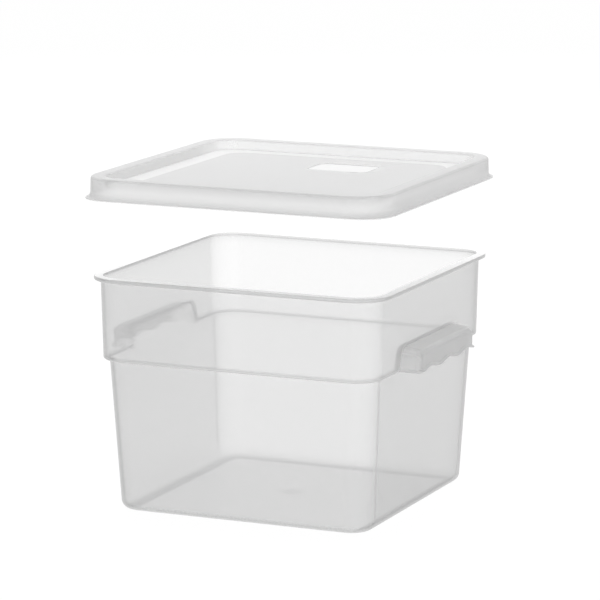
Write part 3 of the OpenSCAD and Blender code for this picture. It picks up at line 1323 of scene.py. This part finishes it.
        # Painted light: the gutter's floor and the label field are painted whiter.
        self._mark_painted_light(lid)
        return lid

    def _finish(self, levels: np.ndarray) -> np.ndarray:
        """How strongly the face at each level scatters.

        The skirt scatters most at its foot, the well's wall scatters least, and the inside is smooth.

        Args:
            levels: The loft's levels.

        Returns:
            A factor for each level.
        """
        half, height = levels[:, 0], levels[:, 1]
        outside, inward = np.arange(len(levels)) > np.argmax(half), half < self.container.rim_half
        skirt = ~inward & (height < self.top - self.band_edge / 2)
        wall = inward & (height > self.panel_z) & (height < self.top - self.well_edge / 2)
        more = self.skirt_top_matt - self.skirt_foot_matt
        skirt_matt = self.skirt_foot_matt + more * self._share_up(height)
        return np.where(skirt, skirt_matt, np.where(wall, self.well_matt, 1.0)) * outside

    def _mark_painted_light(self, lid: bpy.types.Object) -> None:
        """Marks the gutter's floor and the label field, which are painted whiter as painted light.

        Args:
            lid: The lid, with its label field cut in.
        """
        gutter_z, field_z = self.panel_z - self.panel_rise, self.panel_z - self.label_depth
        level, near_gutter, near_field = 0.98, 0.2 * MM, 0.05 * MM
        shares = []
        for face in lid.data.polygons:
            x, y, z = face.center
            ring = face.normal.z > level and abs(z - gutter_z) < near_gutter
            across = abs(x - self.label_x) < self.label_long / 2
            along = abs(y - self.label_y) < self.label_wide / 2
            shares.append(float(ring or (across and along and abs(z - field_z) < near_field)))
        # Painted light: these faces take the whiter milk.
        mark(lid, "polish", "FACE", np.array(shares))

    def _cut_label(self, lid: bpy.types.Object) -> None:
        """Cuts the smooth label field into the top of the panel.

        Args:
            lid: The lofted lid.
        """
        r = self.label_corner
        across, along = self.label_long / 2 - r, self.label_wide / 2 - r
        outline = []
        for quarter, (sx, sy) in enumerate(QUARTERS):
            for step in range(self.arc_steps + 1):
                turn = math.pi / 2 * (quarter + step / self.arc_steps)
                outline.append((
                    self.label_x + sx * across + r * math.cos(turn),
                    self.label_y + sy * along + r * math.sin(turn),
                ))
        count = len(outline)
        low, high = self.panel_z - self.label_depth, self.panel_z + self.cutter_over
        points = np.array([(x, y, z) for z in (low, high) for x, y in outline])
        faces = [tuple(reversed(range(count))), tuple(range(count, 2 * count))]
        faces += [(k, (k + 1) % count, count + (k + 1) % count, count + k) for k in range(count)]
        cutter = add_mesh("label_cutter", points, faces)
        mark(cutter, "matt", "POINT", np.ones(len(points)))
        cut = lid.modifiers.new("label", "BOOLEAN")
        cut.operation, cut.solver, cut.object = "DIFFERENCE", "EXACT", cutter
        settle(lid)
        bpy.data.objects.remove(cutter)
        lid.data.shade_smooth()
        lid.data.set_sharp_from_angle(angle=self.sharp_from)


@dataclass(frozen=True)
class Lamp:
    """A soft square lamp that shows in no reflection."""

    name: str
    place: Vector
    aim: Vector
    size: float
    watts: float

    def build(self) -> None:
        """Hangs the lamp."""
        data = bpy.data.lights.new(self.name, "AREA")
        data.shape, data.size, data.energy = "SQUARE", self.size, self.watts
        lamp = bpy.data.objects.new(self.name, data)
        lamp.visible_glossy = False
        lamp.location = self.place
        lamp.rotation_euler = (self.place - self.aim).to_track_quat("Z", "Y").to_euler()
        bpy.context.scene.collection.objects.link(lamp)


@dataclass
class Studio:
    """A white studio: floor, world, soft lamps and the camera of the photograph.

    The side that the camera stands on is left dim, so that the faces turned to it are grey against white.
    """

    azimuth: float = 23.75
    elevation: float = 10.68
    distance: float = 3.287
    lens: float = 216.4
    sensor: float = 36.0
    sees_to: float = 60.0
    aim_right: float = 6.4 * MM
    aim_up: float = 181 * MM
    floor_drop: float = 0.4 * MM
    floor_reach: float = 12.0
    floor_paint: float = 0.8
    floor_glow: float = 0.90
    under_glow: float = 0.7
    floor_lift: float = 1.06
    floor_least: float = 0.9
    behind_plastic: float = 1.12
    behind_faces: float = 4.0
    behind_power: float = 3.0
    dim_side: float = 0.30
    dim_from: float = -0.1
    dim_to: float = 0.9
    bright_rise: float = 0.35
    light_level: float = 0.9
    faces_seen_through: int = 48
    lamps: tuple[Lamp, ...] = (
        Lamp("overhead", Vector((-0.1, 0.25, 1.9)), Vector((0, 0, 0.1)), size=1.2, watts=12.0),
        Lamp("back_bank", Vector((-0.95, 2.1, 1.75)), Vector((0, 0, 0.15)), size=1.8, watts=42.0),
    )

    def build(self) -> None:
        """Builds the camera, the world, the floor and the lamps."""
        self._camera()
        self._world()
        self._floor()
        for lamp in self.lamps:
            lamp.build()
        scene = bpy.context.scene
        scene.view_settings.view_transform = "Standard"
        scene.cycles.transparent_max_bounces = self.faces_seen_through

    def _to_camera(self) -> Vector:
        """The direction from the object to the camera."""
        turn, lift = math.radians(self.azimuth), math.radians(self.elevation)
        return Vector((math.sin(turn) * math.cos(lift), -math.cos(turn) * math.cos(lift), math.sin(lift)))

    def _camera(self) -> None:
        """Puts the camera at the photograph's angle."""
        back, turn = self._to_camera(), math.radians(self.azimuth)
        right = Vector((math.cos(turn), math.sin(turn), 0))
        data = bpy.data.cameras.new("camera")
        data.lens, data.sensor_width = self.lens, self.sensor
        data.clip_end = self.sees_to
        camera = bpy.data.objects.new("camera", data)
        camera.location = right * self.aim_right + Vector((0, 0, self.aim_up)) + back * self.distance
        camera.rotation_euler = back.to_track_quat("Z", "Y").to_euler()
        bpy.context.scene.collection.objects.link(camera)
        bpy.context.scene.camera = camera

    def _side(self, draw: Canvas, way: bpy.types.NodeSocket) -> bpy.types.NodeSocket:
        """The level of the white surroundings in a direction: dim on the side of the camera.

        Args:
            draw: The canvas.
            way: The direction, as a vector that need not have unit length.

        Returns:
            The level.
        """
        back = self._to_camera()
        bright = Vector((-back.x, -back.y, self.bright_rise)).normalized()
        unit = draw.out("ShaderNodeVectorMath", {0: way}, operation="NORMALIZE")
        toward = draw.add("ShaderNodeVectorMath", {0: unit, 1: bright}, operation="DOT_PRODUCT")
        values = {
            "Value": toward.outputs["Value"],
            "From Min": self.dim_from,
            "From Max": self.dim_to,
            "To Min": self.dim_side,
            "To Max": 1.0,
        }
        return draw.out("ShaderNodeMapRange", values, interpolation_type="SMOOTHSTEP")

    def _white(self, draw: Canvas, side: bpy.types.NodeSocket) -> bpy.types.NodeSocket:
        """The level that the eye sees of the white surroundings, which is over white through two walls.

        Args:
            draw: The canvas.
            side: The level in that direction, which is what a reflection or a refraction shows.

        Returns:
            The level, 0 for rays that only light the object.
        """
        rays = draw.add("ShaderNodeLightPath").outputs
        crossed = draw.math("MINIMUM", rays["Transparent Depth"], self.behind_faces)
        share = draw.math("MULTIPLY", crossed, 1 / self.behind_faces)
        deep = draw.math("POWER", share, self.behind_power)
        straight = draw.math("MULTIPLY_ADD", deep, self.behind_plastic - 1, 1.0)
        straight = draw.math("MULTIPLY", rays["Is Camera Ray"], straight)
        turned = draw.math("MAXIMUM", rays["Is Glossy Ray"], rays["Is Transmission Ray"])
        return draw.math("MAXIMUM", straight, draw.math("MULTIPLY", turned, side))

    def _world(self) -> None:
        """A background that is white to the eye and lights the object at a plain level."""
        world = bpy.data.worlds.new("studio")
        draw = Canvas.on(world)
        side = self._side(draw, draw.add("ShaderNodeTexCoord").outputs["Generated"])
        lit = draw.math("MULTIPLY", side, self.light_level)
        strength = draw.math("MAXIMUM", self._white(draw, side), lit)
        back = draw.out("ShaderNodeBackground", {"Color": WHITE, "Strength": strength})
        draw.add("ShaderNodeOutputWorld", {0: back})
        world.cycles.sampling_method = "NONE"
        bpy.context.scene.world = world

    def _floor(self) -> None:
        """A white floor that keeps part of the object's shadow."""
        low = [-self.floor_drop] * len(QUARTERS)
        corners = np.column_stack([np.array(QUARTERS) * self.floor_reach, low])
        floor = add_mesh("studio_floor", corners, [(0, 1, 2, 3)])
        material = bpy.data.materials.new("studio_white")
        material.cycles.emission_sampling = "NONE"
        draw = Canvas.on(material)
        side = self._side(draw, draw.add("ShaderNodeTexCoord").outputs["Object"])
        shade = (self.floor_paint, self.floor_paint, self.floor_paint, 1)
        paint = draw.out("ShaderNodeBsdfDiffuse", {"Color": shade})
        seen = self._white(draw, side)
        more = self.floor_glow - self.under_glow
        share = draw.math("MULTIPLY_ADD", draw.math("MINIMUM", seen, 1.0), more, self.under_glow)
        level = draw.math("MAXIMUM", draw.math("MULTIPLY", seen, self.floor_lift), self.floor_least)
        glow = draw.out("ShaderNodeEmission", {"Color": WHITE, "Strength": level})
        mixed = draw.out("ShaderNodeMixShader", {0: share, 1: paint, 2: glow})
        draw.add("ShaderNodeOutputMaterial", {"Surface": mixed})
        floor.data.materials.append(material)


def report(piece: bpy.types.Object) -> None:
    """Logs a piece's name and its count of faces."""
    log.info("%s: %d faces", piece.name, len(piece.data.polygons))


def main() -> None:
    """Builds the box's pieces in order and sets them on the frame."""
    logging.basicConfig(level=logging.INFO, format="%(message)s")
    Studio().build()
    finishes = (CONTAINER_PLASTIC, GRIP_PLASTIC, LID_PLASTIC)
    container_plastic, grip_plastic, lid_plastic = (finish.build() for finish in finishes)
    loft = RingLoft()
    shell = Container().make(loft, container_plastic)
    grips = [Grip().make(name, side, grip_plastic) for name, side in (("grip_right", 1), ("grip_left", -1))]
    lid = Lid().make(loft, lid_plastic)
    for piece in (shell, *grips):
        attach(piece, "container")
        report(piece)
    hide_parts("container")
    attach(lid, "lid")
    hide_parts("lid")
    report(lid)


if __name__ == "__main__":
    main()
